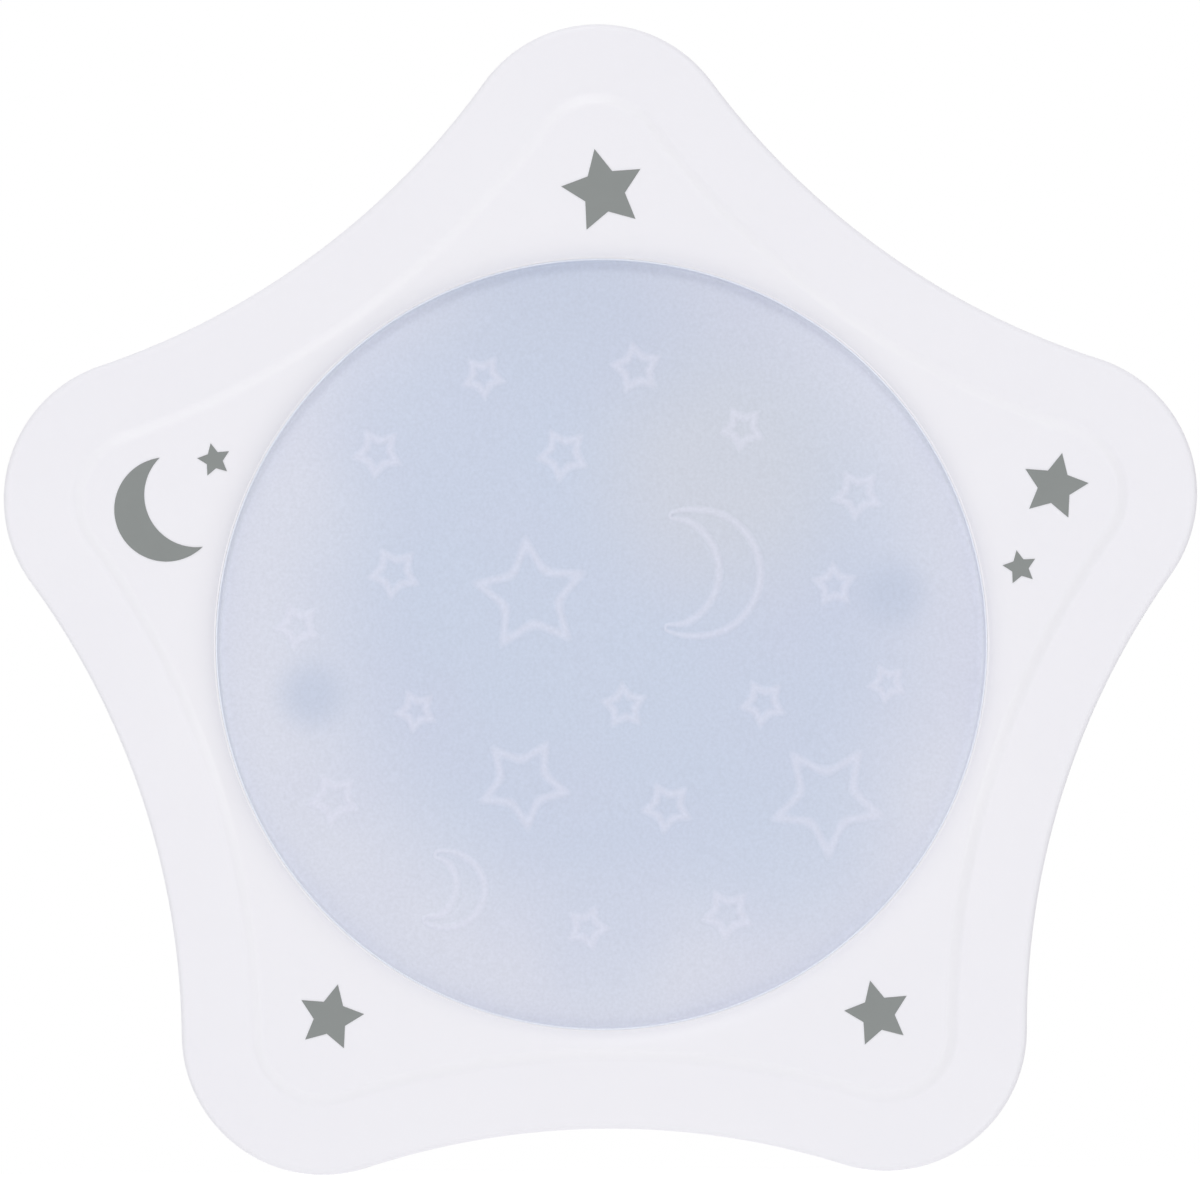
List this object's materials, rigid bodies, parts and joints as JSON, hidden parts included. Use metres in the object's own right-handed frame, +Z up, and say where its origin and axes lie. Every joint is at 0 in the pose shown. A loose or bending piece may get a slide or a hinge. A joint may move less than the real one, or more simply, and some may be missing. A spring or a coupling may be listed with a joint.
{
  "type": "plug-in night light",
  "caption": "Star-shaped plug-in night light with a round frosted lens, a rear cover with a two-pin plug, a light board inside and a slide switch on its underside.",
  "frame": {"origin": "midway between the two pins, on the plug block's pin face", "axes": "+Z up, +X to the right as the light is seen from the front, +Y into the wall along the pins; the face looks along -Y"},
  "size_m": [0.0994, 0.0575, 0.0957],
  "materials": {
    "shell_white": "fine satin moulding, cool white",
    "print_grey": "matt grey pad print",
    "lens_frosted": "frosted translucent pale blue, fine grain",
    "reflector_white": "bright matt white",
    "board": "white solder mask",
    "led": "yellow phosphor in a white case",
    "plug_white": "satin white",
    "pin_metal": "nickel-plated brass",
    "sleeve_black": "matt black insulation",
    "wire_brown": "soft insulation",
    "wire_blue": "soft insulation",
    "wire_red": "soft insulation",
    "film_capacitor": "yellow moulded box",
    "component_dark": "dark moulding",
    "resistor_body": "lacquered",
    "switch_can": "plated sheet",
    "tinned_metal": "tinned",
    "knob_white": "satin white",
    "screw_steel": "zinc plated"
  },
  "bodies": {
    "housing": {"front_shell": "shell_white", "lens": "lens_frosted", "reflector": "reflector_white", "led_board": "board", "leds": "led", "rear_cover": "shell_white", "plug_body": "plug_white", "live_pin": "pin_metal", "neutral_pin": "pin_metal", "pin_sleeves": "sleeve_black", "live_wire": "wire_brown", "neutral_wire": "wire_blue", "dropper_capacitor": "film_capacitor", "smoothing_capacitor": "component_dark", "bridge_rectifier": "component_dark", "fusible_resistor": "resistor_body", "resistors": "component_dark", "switch_body": "switch_can", "switch_terminals": "tinned_metal", "switch_leads": "wire_red", "lens_screws": "screw_steel", "reflector_screws": "screw_steel", "housing_screws": "screw_steel"},
    "slider": {"switch_actuator": "component_dark", "switch_knob": "knob_white"}
  },
  "joints": [
    {"name": "switch_slide", "type": "slide", "parent": "housing", "child": "slider", "axis": [1, 0, 0], "range_m": [0, 0.0025]}
  ]
}
